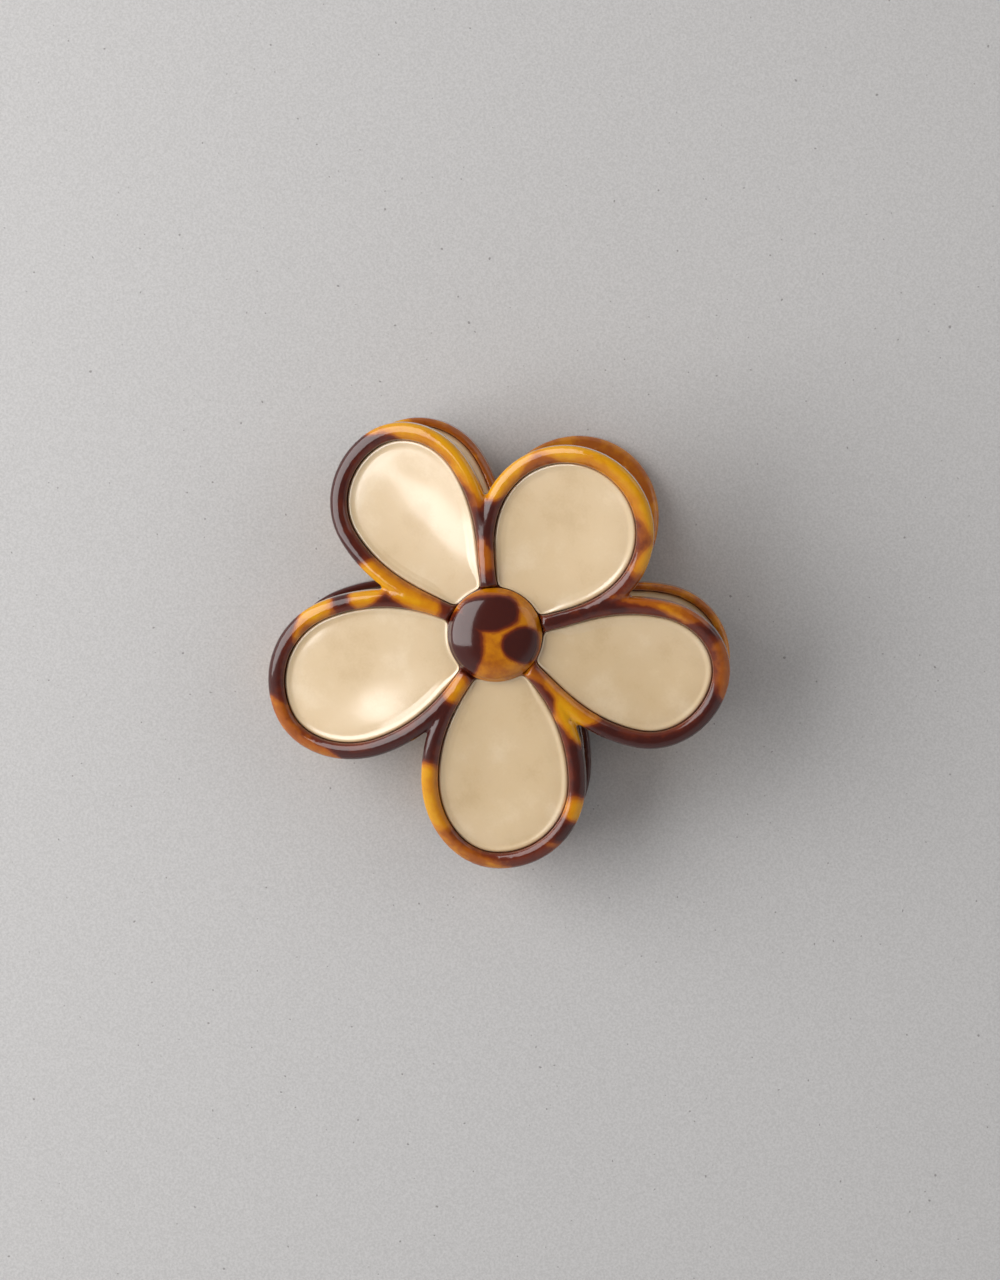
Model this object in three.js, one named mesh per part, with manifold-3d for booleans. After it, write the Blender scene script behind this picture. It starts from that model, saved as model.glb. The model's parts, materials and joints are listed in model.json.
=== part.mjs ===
// Flower hair clip: a claw clip whose two jaws are five-petalled flowers.
//
// Each jaw is a lattice frame of rounded beads round five petal windows, with a pale inlay
// in each window and a domed button at the centre. Two lugs under each hub carry a steel
// pin, and a torsion spring on the pin pushes the lever petals apart, which closes the
// mouth. Teeth on the two mouth petals of each jaw mesh past each other.
//
// The jaws are drawn in the clip's own frame: X along the hinge, Y from the mouth towards
// the lever petals, Z from the mid-plane out through the front jaw. The finished clip is
// then tipped until it lies on its rear jaw.

import * as THREE from 'three';
import { mergeVertices } from 'three/addons/utils/BufferGeometryUtils.js';
import Module from 'manifold-3d';

const wasm = await Module();
wasm.setup();

// Driving dimensions: millimetres and degrees.
const FIT_GAP = 0.3;

// Flower outline, seen along the mid-plane's normal. Angles count from the lever direction.
const WEB_WIDTH = 2.8;
const RIM_WIDTH = 3.0;
const WINDOW_INNER_RADIUS = 8.2;
const LEVER_WEB = 41.8;
const SIDE_WEB = 99.7;
const MOUTH_WEB = 180;
const LEVER_PETAL = {
  axis: 0, tip: 34.0, widest: 21.7,
  leverSide: { web: LEVER_WEB, half: 12.0 }, mouthSide: { web: LEVER_WEB, half: 12.0 },
};
const SIDE_PETAL = {
  axis: 67.2, tip: 38.2, widest: 27.9,
  leverSide: { web: 67.2 - LEVER_WEB, half: 9.3 },
  mouthSide: { web: SIDE_WEB - 67.2, half: 11.4 },
};
const MOUTH_PETAL = {
  axis: 146.4, tip: 39.6, widest: 26.4,
  leverSide: { web: 146.4 - SIDE_WEB, half: 13.2 },
  mouthSide: { web: MOUTH_WEB - 146.4, half: 9.8 },
};
const FLANK_START = 0.30;   // how far the straight start of a flank pulls the curve
const FLANK_END = 0.44;     // how far the widest point pulls it back
const ROUND = 0.5523;       // Bezier handle of a quarter ellipse

// Jaw surface: height of the bead tops above the mid-plane.
const HUB_HEIGHT = 13.0;
const LEVER_FLARE = 8.6;
const LEVER_REACH = 37;
const MOUTH_DROP = 6.0;
const MOUTH_REACH = 38;
const SIDE_DROP = 3.2;
const SIDE_REACH = 37;
const BELLY_REACH = 22;     // where the jaw's belly meets a table

// Frame section.
const FRAME_DEPTH = 4.2;
const BEAD_RISE = 1.1;
const INLAY_RECESS = 1.6;
const INLAY_THICKNESS = 1.6;
const INLAY_DISH = 0.5;
const WINDOW_TRIM = 0.05;

// Button.
const BUTTON_RADIUS = 8.2;
const BUTTON_RISE = 1.9;
const BUTTON_WALL = 0.6;

// Hinge.
const HINGE_Y = 3.0;
const KNUCKLE_RADIUS = 3.0;
const LUG_THICKNESS = 2.4;
const FRONT_LUG_X = 8.2;
const REAR_LUG_X = 5.4;
const LUG_ROOT_HALF = 4.2;
const PLATE_INNER = 7.4;
const PLATE_OUTER = 9.4;
const TONGUE_HALF = 4.0;
const TONGUE_END = 14.0;
const PIN_RADIUS = 1.0;
const PIN_HOLE_RADIUS = 1.2;
const PIN_HALF_LENGTH = 9.7;
const PIN_CHAMFER = 0.3;

// Torsion spring.
const WIRE_RADIUS = 0.5;
const COIL_RADIUS = 3.0;
const COIL_HALF_LENGTH = 3.2;
const COIL_TURNS = 4.5;
const LEG_END_Y = 10.0;     // from the hinge axis
const LEG_END_Z = PLATE_INNER - FIT_GAP - WIRE_RADIUS;

// Teeth: place along the rim of a mouth petal, from its lever-side flank to its other one.
const FRONT_TEETH = [0.42, 0.54, 0.66, 0.78];
const REAR_TEETH = [0.48, 0.60, 0.72];
const TOOTH_ROOT = 1.3;
const TOOTH_TIP = 0.6;
const TOOTH_OVERLAP = 3.0;  // how far a tooth passes the mid-plane at most
const TOOTH_CLEARANCE = 0.7;

// Fineness of the facets.
const SIDE_STEPS = 7;
const TIP_STEPS = 6;
const INNER_STEPS = 3;
const BEAD_STEPS = 4;

const radians = THREE.MathUtils.degToRad;

const TORTOISE = new THREE.MeshStandardMaterial({
  name: 'tortoise_plastic', color: 0x8a4012, roughness: 0.15, metalness: 0,
});
const PEARL = new THREE.MeshStandardMaterial({
  name: 'pearl_inlay', color: 0xe6d3b0, roughness: 0.25, metalness: 0,
});
const STEEL = new THREE.MeshStandardMaterial({
  name: 'spring_steel', color: 0xb9b8b4, roughness: 0.3, metalness: 1,
});

// Height of the bead tops above the mid-plane: flared towards the lever, domed to the mouth
// and across, to follow the curve of a head.
function jawHeight(x, y) {
  const crown = HUB_HEIGHT - SIDE_DROP * (x / SIDE_REACH) ** 2;
  if (y > 0) {
    return crown + LEVER_FLARE * (y / LEVER_REACH) ** 2;
  }
  return crown - MOUTH_DROP * (-y / MOUTH_REACH) ** 3;
}

// ---- Joining and cutting ----

function toSolid(geometry) {
  const plain = geometry.clone();
  plain.deleteAttribute('normal');
  plain.deleteAttribute('uv');
  const merged = mergeVertices(plain, 1e-5);
  const mesh = new wasm.Mesh({
    numProp: 3,
    vertProperties: new Float32Array(merged.attributes.position.array),
    triVerts: new Uint32Array(merged.index.array),
  });
  return new wasm.Manifold(mesh);
}

function toGeometry(solid) {
  const mesh = solid.getMesh();
  const geometry = new THREE.BufferGeometry();
  geometry.setAttribute('position', new THREE.BufferAttribute(mesh.vertProperties, 3));
  geometry.setIndex(new THREE.BufferAttribute(mesh.triVerts, 1));
  geometry.computeVertexNormals();
  return geometry;
}

function meshFrom(points, faces) {
  const geometry = new THREE.BufferGeometry().setFromPoints(points);
  geometry.setIndex(faces);
  geometry.computeVertexNormals();
  return geometry;
}

// ---- Petal outlines ----

// One side of a window, from the hub to the tip: x along the petal's axis, y away from it.
function flank(petal, side) {
  const web = radians(side.web);
  const outward = new THREE.Vector2(Math.cos(web), Math.sin(web));
  const across = new THREE.Vector2(outward.y, -outward.x);
  const along = Math.sqrt(WINDOW_INNER_RADIUS ** 2 - (WEB_WIDTH / 2) ** 2);
  const start = outward.clone().multiplyScalar(along).addScaledVector(across, WEB_WIDTH / 2);
  const run = petal.widest - start.x;
  const widest = new THREE.Vector2(petal.widest, side.half);
  const shoulder = new THREE.CubicBezierCurve(
    start,
    start.clone().addScaledVector(outward, FLANK_START * run),
    new THREE.Vector2(petal.widest - FLANK_END * run, side.half),
    widest,
  );
  const nose = new THREE.CubicBezierCurve(
    widest,
    new THREE.Vector2(petal.widest + ROUND * (petal.tip - petal.widest), side.half),
    new THREE.Vector2(petal.tip, ROUND * side.half),
    new THREE.Vector2(petal.tip, 0),
  );
  return [...shoulder.getPoints(SIDE_STEPS), ...nose.getPoints(TIP_STEPS).slice(1)];
}

// The arc that closes a window beside the button, between its two flanks.
function hubArc(from, to) {
  const first = Math.atan2(from.y, from.x);
  const last = Math.atan2(to.y, to.x);
  return Array.from({ length: INNER_STEPS - 1 }, (_, i) => {
    const angle = first + (last - first) * ((i + 1) / INNER_STEPS);
    return new THREE.Vector2(Math.cos(angle), Math.sin(angle))
      .multiplyScalar(WINDOW_INNER_RADIUS);
  });
}

// A whole window on the -X side as plan points, anticlockwise, with the rim's arc first.
function windowOutline(petal) {
  const mouthSide = flank(petal, petal.mouthSide);
  const leverSide = flank(petal, petal.leverSide);
  const local = [
    ...leverSide.map((p) => new THREE.Vector2(p.x, -p.y)),
    ...mouthSide.slice(0, -1).reverse(),
  ];
  local.push(...hubArc(local[local.length - 1], local[0]));
  const turn = radians(petal.axis + 90);
  return local.map((p) => p.rotateAround(new THREE.Vector2(), turn));
}

function mirrored(outline) {
  return outline.map((p) => new THREE.Vector2(-p.x, p.y)).reverse();
}

// The outline's unit normals, pointing out of the window.
function outwardNormals(outline) {
  const count = outline.length;
  return outline.map((p, i) => {
    const before = p.clone().sub(outline[(i + count - 1) % count]).normalize();
    const after = outline[(i + 1) % count].clone().sub(p).normalize();
    const mean = before.add(after).normalize();
    const normal = new THREE.Vector2(mean.y, -mean.x);
    const cosine = Math.max(0.6, Math.abs(normal.dot(new THREE.Vector2(after.y, -after.x))));
    return normal.divideScalar(cosine);
  });
}

function offsetOutline(outline, distance) {
  const normals = outwardNormals(outline);
  return outline.map((p, i) => p.clone().addScaledVector(normals[i], distance));
}

// ---- Frame ----

// The bead's section: distance out of the window, height from the bead's top.
function beadSection() {
  const half = RIM_WIDTH / 2;
  const crown = Array.from({ length: BEAD_STEPS + 1 }, (_, i) => {
    const angle = Math.PI * (i / BEAD_STEPS);
    return [half - half * Math.cos(angle), BEAD_RISE * (Math.sin(angle) - 1)];
  });
  return [[0, -FRAME_DEPTH], ...crown, [RIM_WIDTH, -FRAME_DEPTH]];
}

// A closed bead swept round a window, lying on the jaw's surface.
function rim(outline) {
  const section = beadSection();
  const points = [];
  for (const [out, height] of section) {
    for (const p of offsetOutline(outline, out)) {
      points.push(new THREE.Vector3(p.x, p.y, jawHeight(p.x, p.y) + height));
    }
  }
  const count = outline.length;
  const faces = [];
  for (let j = 0; j < section.length; j += 1) {
    const row = j * count;
    const next = ((j + 1) % section.length) * count;
    for (let i = 0; i < count; i += 1) {
      const k = (i + 1) % count;
      faces.push(row + i, row + k, next + k, row + i, next + k, next + i);
    }
  }
  return toSolid(meshFrom(points, faces.reverse()));
}

function prism(outline, low, high) {
  const geometry = new THREE.ExtrudeGeometry(new THREE.Shape(outline), {
    depth: high - low, bevelEnabled: false, curveSegments: 1,
  });
  return geometry.translate(0, 0, low);
}

function disc(radius, low, high) {
  const geometry = new THREE.CylinderGeometry(radius, radius, high - low, 40);
  return geometry.rotateX(Math.PI / 2).translate(0, 0, (low + high) / 2);
}

// The flat plate under the hub, with a tongue towards the lever that the spring bears on.
function hingePlate() {
  const side = FRONT_LUG_X + LUG_THICKNESS / 2;
  const outline = [
    [-side, HINGE_Y - LUG_ROOT_HALF], [side, HINGE_Y - LUG_ROOT_HALF],
    [side, HINGE_Y + LUG_ROOT_HALF], [TONGUE_HALF, HINGE_Y + LUG_ROOT_HALF],
    [TONGUE_HALF, TONGUE_END], [-TONGUE_HALF, TONGUE_END],
    [-TONGUE_HALF, HINGE_Y + LUG_ROOT_HALF], [-side, HINGE_Y + LUG_ROOT_HALF],
  ].map(([x, y]) => new THREE.Vector2(x, y));
  return toSolid(prism(outline, PLATE_INNER, PLATE_OUTER));
}

// One hinge lug, from the plate down to its knuckle round the pin.
function lug(x) {
  const root = (PLATE_INNER + PLATE_OUTER) / 2;
  const shape = new THREE.Shape();
  shape.moveTo(HINGE_Y - LUG_ROOT_HALF, root);
  shape.lineTo(HINGE_Y - KNUCKLE_RADIUS, 0);
  shape.absarc(HINGE_Y, 0, KNUCKLE_RADIUS, Math.PI, 2 * Math.PI, false);
  shape.lineTo(HINGE_Y + LUG_ROOT_HALF, root);
  const hole = new THREE.Path();
  hole.absarc(HINGE_Y, 0, PIN_HOLE_RADIUS, 0, 2 * Math.PI, true);
  shape.holes.push(hole);
  const geometry = new THREE.ExtrudeGeometry(shape, {
    depth: LUG_THICKNESS, bevelEnabled: false, curveSegments: 12,
  });
  const yzToPlan = new THREE.Matrix4().makeBasis(
    new THREE.Vector3(0, 1, 0), new THREE.Vector3(0, 0, 1), new THREE.Vector3(1, 0, 0),
  );
  geometry.applyMatrix4(yzToPlan).translate(x - LUG_THICKNESS / 2, 0, 0);
  return toSolid(geometry);
}

// Points on the centreline of a mouth petal's rim, at the given fractions of its arc.
function rimPlaces(fractions) {
  const arcPoints = 2 * (SIDE_STEPS + TIP_STEPS) + 1;
  const centreline = offsetOutline(windowOutline(MOUTH_PETAL), RIM_WIDTH / 2);
  const arc = new THREE.CurvePath();
  for (let i = 1; i < arcPoints; i += 1) {
    arc.add(new THREE.LineCurve(centreline[i - 1], centreline[i]));
  }
  return fractions.map((fraction) => arc.getPointAt(fraction));
}

function tooth(x, y) {
  const root = jawHeight(x, y) - FRAME_DEPTH;
  const top = root + TOOTH_CLEARANCE;
  const tip = Math.max(-TOOTH_OVERLAP, TOOTH_CLEARANCE - root);
  const geometry = new THREE.CylinderGeometry(TOOTH_ROOT, TOOTH_TIP, top - tip, 8);
  geometry.rotateX(Math.PI / 2).translate(x, y, (top + tip) / 2);
  return toSolid(geometry);
}

function frameGeometry(outlines, lugX, teeth) {
  let frame = toSolid(disc(
    WINDOW_INNER_RADIUS + FIT_GAP, HUB_HEIGHT - FRAME_DEPTH, HUB_HEIGHT - INLAY_RECESS,
  ));
  for (const outline of outlines) {
    frame = frame.add(rim(outline));
  }
  for (const outline of outlines) {
    frame = frame.subtract(toSolid(prism(offsetOutline(outline, WINDOW_TRIM), 0, 40)));
  }
  const seat = disc(BUTTON_RADIUS + FIT_GAP, HUB_HEIGHT - INLAY_RECESS, HUB_HEIGHT + 5);
  frame = frame.subtract(toSolid(seat)).add(hingePlate());
  frame = frame.add(lug(lugX)).add(lug(-lugX));
  for (const place of rimPlaces(teeth)) {
    frame = frame.add(tooth(place.x, place.y)).add(tooth(-place.x, place.y));
  }
  return toGeometry(frame);
}

// ---- Inlay ----

// A thin petal-shaped plate, slightly dished, filling one window.
function inlayGeometry(outline) {
  const edge = offsetOutline(outline, -FIT_GAP);
  const centre = edge.reduce((sum, p) => sum.add(p), new THREE.Vector2())
    .divideScalar(edge.length);
  const rings = [1, 0.55];
  const points = [];
  const addRing = (scale, drop) => {
    for (const p of edge) {
      const q = centre.clone().lerp(p, scale);
      points.push(new THREE.Vector3(q.x, q.y, jawHeight(q.x, q.y) - drop));
    }
  };
  const faceDrop = (scale) => INLAY_RECESS + INLAY_DISH * (1 - scale);
  rings.forEach((scale) => addRing(scale, faceDrop(scale)));
  rings.forEach((scale) => addRing(scale, INLAY_RECESS + INLAY_THICKNESS));
  const top = points.length;
  const middle = jawHeight(centre.x, centre.y);
  points.push(new THREE.Vector3(centre.x, centre.y, middle - faceDrop(0)));
  points.push(new THREE.Vector3(
    centre.x, centre.y, middle - INLAY_RECESS - INLAY_THICKNESS,
  ));
  const count = edge.length;
  const faces = [];
  const band = (upper, lower) => {
    for (let i = 0; i < count; i += 1) {
      const k = (i + 1) % count;
      faces.push(upper + i, lower + i, lower + k, upper + i, lower + k, upper + k);
    }
  };
  band(count, 0);
  band(0, 2 * count);
  band(2 * count, 3 * count);
  for (let i = 0; i < count; i += 1) {
    const k = (i + 1) % count;
    faces.push(top, count + i, count + k);
    faces.push(top + 1, 3 * count + k, 3 * count + i);
  }
  return meshFrom(points, faces);
}

// ---- Button, pin and spring ----

function buttonGeometry() {
  const base = HUB_HEIGHT - INLAY_RECESS + FIT_GAP;
  const wallTop = base + BUTTON_WALL;
  const rise = HUB_HEIGHT + BUTTON_RISE - wallTop;
  const dome = Array.from({ length: 7 }, (_, i) => {
    const angle = (Math.PI / 2) * (i / 6);
    const radius = i === 6 ? 0 : BUTTON_RADIUS * Math.cos(angle);
    return new THREE.Vector2(radius, wallTop + rise * Math.sin(angle));
  });
  const profile = [new THREE.Vector2(0, base), new THREE.Vector2(BUTTON_RADIUS, base), ...dome];
  return new THREE.LatheGeometry(profile, 28).rotateX(Math.PI / 2);
}

function pinGeometry() {
  const profile = [
    [0, -PIN_HALF_LENGTH], [PIN_RADIUS - PIN_CHAMFER, -PIN_HALF_LENGTH],
    [PIN_RADIUS, PIN_CHAMFER - PIN_HALF_LENGTH], [PIN_RADIUS, PIN_HALF_LENGTH - PIN_CHAMFER],
    [PIN_RADIUS - PIN_CHAMFER, PIN_HALF_LENGTH], [0, PIN_HALF_LENGTH],
  ].map(([radius, along]) => new THREE.Vector2(radius, along));
  return new THREE.LatheGeometry(profile, 24).rotateZ(Math.PI / 2).translate(0, HINGE_Y, 0);
}

// The spring's wire: a leg in from the front lever, the coil, a leg out to the rear lever.
class SpringWire extends THREE.Curve {
  constructor() {
    super();
    const reach = Math.hypot(LEG_END_Y, LEG_END_Z);
    this.legLength = Math.sqrt(reach ** 2 - COIL_RADIUS ** 2);
    this.legTilt = Math.atan2(LEG_END_Z, LEG_END_Y) - Math.asin(COIL_RADIUS / reach);
    this.startAngle = Math.PI / 2 + this.legTilt;
    this.sweep = 2 * Math.PI * COIL_TURNS - 2 * this.legTilt;
    this.coilLength = COIL_RADIUS * this.sweep;
    this.total = this.coilLength + 2 * this.legLength;
  }

  getPoint(t) {
    const travel = t * this.total - this.legLength;
    const turned = THREE.MathUtils.clamp(travel / this.coilLength, 0, 1);
    const angle = this.startAngle + turned * this.sweep;
    const x = COIL_HALF_LENGTH * (2 * turned - 1);
    let y = HINGE_Y + COIL_RADIUS * Math.cos(angle);
    let z = COIL_RADIUS * Math.sin(angle);
    if (travel < 0) {
      y -= travel * Math.cos(this.legTilt);
      z -= travel * Math.sin(this.legTilt);
    }
    if (travel > this.coilLength) {
      y += (travel - this.coilLength) * Math.cos(this.legTilt);
      z -= (travel - this.coilLength) * Math.sin(this.legTilt);
    }
    return new THREE.Vector3(x, y, z);
  }
}

function springGeometry() {
  const section = new THREE.Shape();
  section.absarc(0, 0, WIRE_RADIUS, 0, 2 * Math.PI, false);
  return new THREE.ExtrudeGeometry(section, {
    steps: 84, curveSegments: 3, bevelEnabled: false, extrudePath: new SpringWire(),
  });
}

// ---- Assembly ----

function piece(name, geometry, material) {
  const mesh = new THREE.Mesh(geometry, material);
  mesh.name = name;
  return mesh;
}

function jaw(side, lugX, teeth) {
  const sideWindow = windowOutline(SIDE_PETAL);
  const mouthWindow = windowOutline(MOUTH_PETAL);
  const windows = {
    lever: windowOutline(LEVER_PETAL),
    side_left: sideWindow,
    side_right: mirrored(sideWindow),
    mouth_left: mouthWindow,
    mouth_right: mirrored(mouthWindow),
  };
  const group = new THREE.Group();
  const frame = frameGeometry(Object.values(windows), lugX, teeth);
  group.add(piece(`${side}_frame`, frame, TORTOISE));
  for (const [place, outline] of Object.entries(windows)) {
    group.add(piece(`${side}_inlay_${place}`, inlayGeometry(outline), PEARL));
  }
  group.add(piece(`${side}_button`, buttonGeometry(), TORTOISE));
  return group;
}

const frontJaw = jaw('front', FRONT_LUG_X, FRONT_TEETH);
const rearJaw = jaw('rear', REAR_LUG_X, REAR_TEETH);
rearJaw.scale.z = -1;

const clip = new THREE.Group();
clip.add(frontJaw, rearJaw);
clip.add(piece('hinge_pin', pinGeometry(), STEEL));
clip.add(piece('torsion_spring', springGeometry(), STEEL));

// Tip the clip about the hinge's direction until the rear lever and belly are level.
const leverTop = LEVER_PETAL.tip + RIM_WIDTH / 2;
clip.rotation.x = Math.atan2(
  jawHeight(0, leverTop) - jawHeight(0, -BELLY_REACH), leverTop + BELLY_REACH,
);

// Stand it on its lowest point, with the origin under the middle of its box.
const flowerHairClip = new THREE.Group();
flowerHairClip.add(clip);
flowerHairClip.updateMatrixWorld(true);
const box = new THREE.Box3().setFromObject(flowerHairClip, true);
clip.position.set(
  -(box.min.x + box.max.x) / 2, -(box.min.y + box.max.y) / 2, -box.min.z,
);

export default flowerHairClip;
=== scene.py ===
import json
import math

import bmesh
import bpy
import numpy as np
from mathutils import Matrix, Vector


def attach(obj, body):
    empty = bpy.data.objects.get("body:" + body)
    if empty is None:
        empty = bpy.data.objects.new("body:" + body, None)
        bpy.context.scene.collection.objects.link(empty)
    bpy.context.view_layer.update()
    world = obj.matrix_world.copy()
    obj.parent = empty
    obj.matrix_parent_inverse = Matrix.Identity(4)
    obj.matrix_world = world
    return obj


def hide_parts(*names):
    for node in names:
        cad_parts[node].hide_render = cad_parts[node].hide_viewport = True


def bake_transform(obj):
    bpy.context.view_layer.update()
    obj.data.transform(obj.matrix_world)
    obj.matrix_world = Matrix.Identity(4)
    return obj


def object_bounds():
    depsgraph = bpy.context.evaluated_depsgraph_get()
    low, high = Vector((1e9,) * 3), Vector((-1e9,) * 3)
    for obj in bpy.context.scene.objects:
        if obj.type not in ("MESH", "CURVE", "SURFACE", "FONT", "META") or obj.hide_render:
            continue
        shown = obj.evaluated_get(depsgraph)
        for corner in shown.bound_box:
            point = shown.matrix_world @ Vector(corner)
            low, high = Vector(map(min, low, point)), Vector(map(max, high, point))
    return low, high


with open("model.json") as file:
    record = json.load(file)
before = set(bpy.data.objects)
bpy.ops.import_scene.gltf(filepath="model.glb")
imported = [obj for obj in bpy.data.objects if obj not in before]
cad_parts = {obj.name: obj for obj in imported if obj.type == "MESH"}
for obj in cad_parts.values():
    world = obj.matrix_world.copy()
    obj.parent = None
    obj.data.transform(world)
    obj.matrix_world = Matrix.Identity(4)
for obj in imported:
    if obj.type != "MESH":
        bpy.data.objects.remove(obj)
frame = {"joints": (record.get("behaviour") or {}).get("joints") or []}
cad_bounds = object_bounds()

# ---- Driving dimensions: millimetres and degrees ----

WEB_WIDTH = 2.8
RIM_WIDTH = 3.0
WINDOW_INNER_RADIUS = 8.2
LEVER_WEB = 41.8
SIDE_WEB = 99.7
MOUTH_WEB = 180.0
# Each side of a petal: the angle from its axis to its web, and its half width.
PETALS = {
    "lever": {"axis": 0.0, "tip": 34.0, "widest": 21.7,
              "lever_side": (LEVER_WEB, 12.0), "mouth_side": (LEVER_WEB, 12.0)},
    "side": {"axis": 67.2, "tip": 38.2, "widest": 27.9,
             "lever_side": (67.2 - LEVER_WEB, 9.3), "mouth_side": (SIDE_WEB - 67.2, 11.4)},
    "mouth": {"axis": 146.4, "tip": 39.6, "widest": 26.4,
              "lever_side": (146.4 - SIDE_WEB, 13.2), "mouth_side": (MOUTH_WEB - 146.4, 9.8)},
}
FLANK_START = 0.30
FLANK_END = 0.44
ROUND = 0.5523

HUB_HEIGHT = 13.0
LEVER_FLARE = 8.6
LEVER_REACH = 37.0
MOUTH_DROP = 6.0
MOUTH_REACH = 38.0
SIDE_DROP = 3.2
SIDE_REACH = 37.0
BELLY_REACH = 22.0

FRAME_DEPTH = 4.2
BEAD_RISE = 1.1
FOOT_ROUND = 0.45
INLAY_RECESS = 1.6
INLAY_THICKNESS = 1.6
INLAY_DISH = 0.6
INLAY_GAP = 0.07

# Away from the webs the bead overhangs the inlay's back flange, down to a thinner skirt.
UNDERCUT = {"lever": 0.5, "side": 1.6, "mouth": 1.6}
UNDERCUT_TOP = 2.55
UNDERCUT_FROM = 15.0
UNDERCUT_FULL = 20.0
FLANGE_TOP = 2.65
FLANGE_GAP = 0.12

SEAT_RADIUS = 8.5
BUTTON_RADIUS = 8.2
BUTTON_BASE = HUB_HEIGHT - INLAY_RECESS + 0.3
BUTTON_TOP = HUB_HEIGHT + 1.9
BUTTON_EDGE_ROUND = 0.45

HINGE_Y = 3.0
KNUCKLE_RADIUS = 3.0
LUG_THICKNESS = 2.4
LUG_ROOT_HALF = 4.2
LUG_SPREAD = 1.3      # how fast the lug widens from its knuckle to its root
LUG_SIDES = 48
LUG_X = {"front": 8.2, "rear": 5.4}
PLATE_INNER = 7.4
PLATE_OUTER = 9.4
PLATE_SIDE = LUG_X["front"] + LUG_THICKNESS / 2
TONGUE_HALF = 4.0
TONGUE_END = 14.0
PIN_RADIUS = 1.0
PIN_HOLE_RADIUS = 1.2
PIN_HALF_LENGTH = 9.7
PIN_CHAMFER = 0.3

WIRE_RADIUS = 0.5
COIL_RADIUS = 3.0
COIL_HALF_LENGTH = 3.2
COIL_TURNS = 4.5
LEG_END_Y = 10.0
LEG_END_Z = 6.6

TEETH = {"front": [0.42, 0.54, 0.66, 0.78], "rear": [0.48, 0.60, 0.72]}
TOOTH_ROOT = 1.3
TOOTH_TIP = 0.6
TOOTH_OVERLAP = 3.0
TOOTH_CLEARANCE = 0.7

OUTLINE_STEP = 0.36
CORNER_PASSES = 9
VOXEL = 0.32
SMOOTH_PASSES = 7
SMOOTH_PULLS = (0.62, -0.64)
SHOULDER_STEPS = 60
NOSE_STEPS = 40
HUB_STEPS = 20
SLICE = 4000          # points compared at a time
SEAT_SIDES = 72
TOOTH_SIDES = 20
PIN_SIDES = 40
WIRE_SIDES = 14
WIRE_RINGS = 520
BUTTON_SIDES = 96

MM = 0.001
WELD_DISTANCE = 2e-6
PLACES = ("lever", "side_left", "side_right", "mouth_left", "mouth_right")


def jaw_height(x, y):
    """Height of the bead tops above the mid-plane."""
    side = SIDE_DROP * (x / SIDE_REACH) ** 2
    lever = LEVER_FLARE * (np.maximum(y, 0) / LEVER_REACH) ** 2
    mouth = MOUTH_DROP * (np.maximum(-y, 0) / MOUTH_REACH) ** 3
    return HUB_HEIGHT - side + lever - mouth


# ---- The clip's place in the frame ----

hinge = next(joint for joint in frame["joints"] if joint["name"] == "jaw_hinge")
LEVER_TOP = PETALS["lever"]["tip"] + RIM_WIDTH / 2
TILT = math.atan2(jaw_height(0, LEVER_TOP) - jaw_height(0, -BELLY_REACH), LEVER_TOP + BELLY_REACH)
TO_ROW = (
    Matrix.Translation(Vector(hinge["pos_m"]))
    @ Matrix.Rotation(TILT, 4, "X")
    @ Matrix.Scale(MM, 4)
    @ Matrix.Translation((0, -HINGE_Y, 0))
)


def to_row(point):
    """The clip's own millimetres to the row's metres."""
    return TO_ROW @ Vector(point)


# ---- Outlines in plan ----

def bezier(a, b, c, d, steps):
    """Points along a cubic curve."""
    t = np.linspace(0, 1, steps + 1)[:, None]
    a, b, c, d = (np.array(p, float) for p in (a, b, c, d))
    return (1 - t) ** 3 * a + 3 * (1 - t) ** 2 * t * b + 3 * (1 - t) * t ** 2 * c + t ** 3 * d


def flank(petal, side):
    """One side of a window, from the hub to the tip: x along the petal's axis."""
    angle, half = petal[side]
    widest, tip = petal["widest"], petal["tip"]
    outward = np.array([math.cos(math.radians(angle)), math.sin(math.radians(angle))])
    across = np.array([outward[1], -outward[0]])
    along = math.sqrt(WINDOW_INNER_RADIUS ** 2 - (WEB_WIDTH / 2) ** 2)
    start = outward * along + across * WEB_WIDTH / 2
    run = widest - start[0]
    shoulder = bezier(start, start + outward * FLANK_START * run,
                      (widest - FLANK_END * run, half), (widest, half), SHOULDER_STEPS)
    nose = bezier((widest, half), (widest + ROUND * (tip - widest), half),
                  (tip, ROUND * half), (tip, 0), NOSE_STEPS)
    return np.vstack([shoulder, nose[1:]])


def resampled(points, step, closed):
    """The same line with its points evenly spaced."""
    if closed:
        points = np.vstack([points, points[:1]])
    travel = np.concatenate([[0], np.cumsum(np.linalg.norm(np.diff(points, axis=0), axis=1))])
    count = max(3, round(travel[-1] / step))
    places = np.linspace(0, travel[-1], count + 1)
    if closed:
        places = places[:-1]
    return np.column_stack([np.interp(places, travel, points[:, k]) for k in range(2)])


def turned(points, degrees):
    """Points in plan turned anticlockwise about the hub."""
    c, s = math.cos(math.radians(degrees)), math.sin(math.radians(degrees))
    return points @ np.array([[c, s], [-s, c]])


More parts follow.
